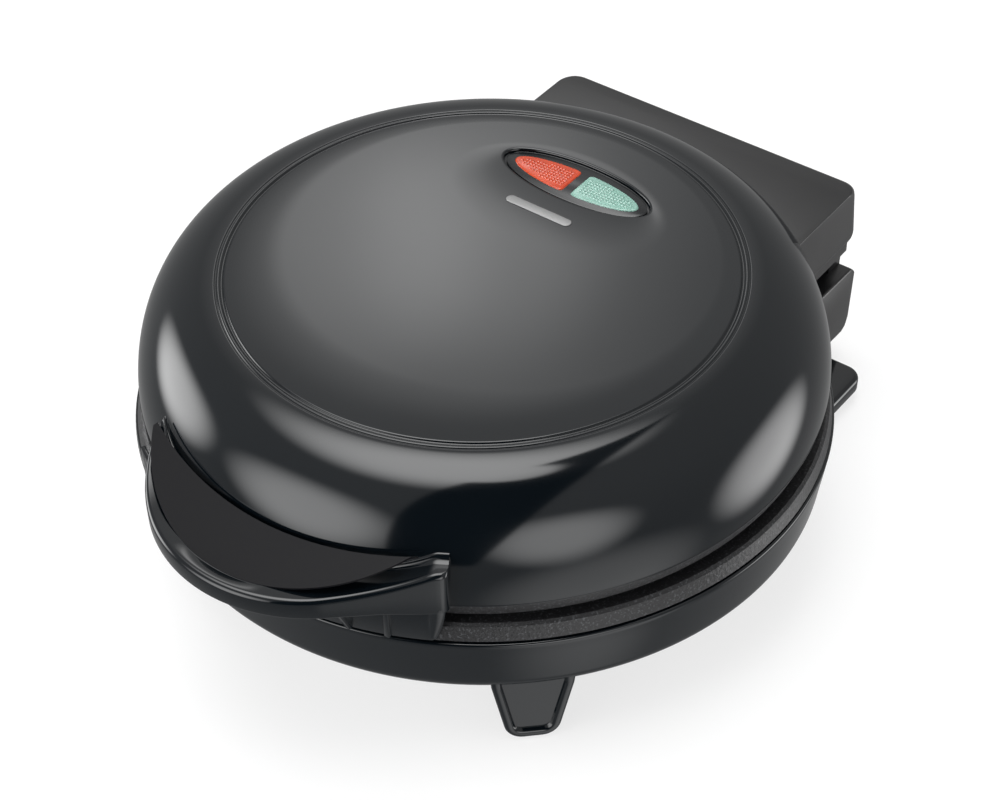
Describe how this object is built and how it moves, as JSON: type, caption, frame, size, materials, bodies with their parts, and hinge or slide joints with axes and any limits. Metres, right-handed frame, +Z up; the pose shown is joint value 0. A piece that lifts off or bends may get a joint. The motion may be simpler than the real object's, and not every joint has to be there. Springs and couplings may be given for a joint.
{
  "type": "donut maker",
  "caption": "Round tabletop donut maker: glossy domed lid on a rear hinge, front handle, moulded baking plates and two indicator lamps.",
  "frame": {"origin": "on the floor under the middle of the closed object", "axes": "+Z up, -Y towards the handle, X along the hinge"},
  "size_m": [0.2184, 0.2611, 0.0953],
  "materials": {
    "gloss_shell": "high gloss black, smooth",
    "satin_housing": "satin black",
    "matte_cover": "matte black",
    "handle_plastic": "gloss black border round a satin charcoal thumb rest",
    "foot_rubber": "matte",
    "cast_plate": "black non-stick coat, finely speckled",
    "heater_sheath": "heat-darkened",
    "reflector_sheet": "plain mill finish",
    "ceramic": "matte, cream",
    "terminal_plastic": "satin, cream",
    "bezel_plastic": "satin black",
    "red_lens": "clear orange-red, moulded grid",
    "green_lens": "clear pale green, moulded grid",
    "lamp_glass": "clear",
    "lamp_board": "resin board",
    "trim_metal": "satin",
    "screw_steel": "zinc plated"
  },
  "bodies": {
    "base": {"base_shell": "gloss_shell", "base_rear_housing": "satin_housing", "wiring_cover": "matte_cover", "rear_foot": "gloss_shell", "foot_pads": "foot_rubber", "lower_plate": "cast_plate", "lower_element": "heater_sheath", "lower_reflector": "reflector_sheet", "thermostat": "ceramic", "thermal_fuse": "ceramic", "terminal_block": "terminal_plastic", "cord_gland": "foot_rubber", "base_plate_screws": "screw_steel", "rear_foot_screws": "screw_steel", "cover_screws": "screw_steel", "hinge_pins": "screw_steel"},
    "lid": {"lid_shell": "gloss_shell", "lid_rear_housing": "satin_housing", "lid_hinge_bracket": "satin_housing", "bracket_screws": "screw_steel", "handle": "handle_plastic", "handle_screws": "screw_steel", "lamp_bezel": "bezel_plastic", "power_lamp_lens": "red_lens", "ready_lamp_lens": "green_lens", "neon_lamps": "lamp_glass", "lamp_holder": "lamp_board", "trim_bar": "trim_metal", "upper_plate": "cast_plate", "upper_element": "heater_sheath", "upper_reflector": "reflector_sheet", "lid_plate_screws": "screw_steel"}
  },
  "joints": [
    {"name": "lid_hinge", "type": "hinge", "parent": "base", "child": "lid", "pos_m": [0, 0.1244, 0.0402], "axis": [-1, 0, 0], "range_deg": [0, 100]}
  ]
}
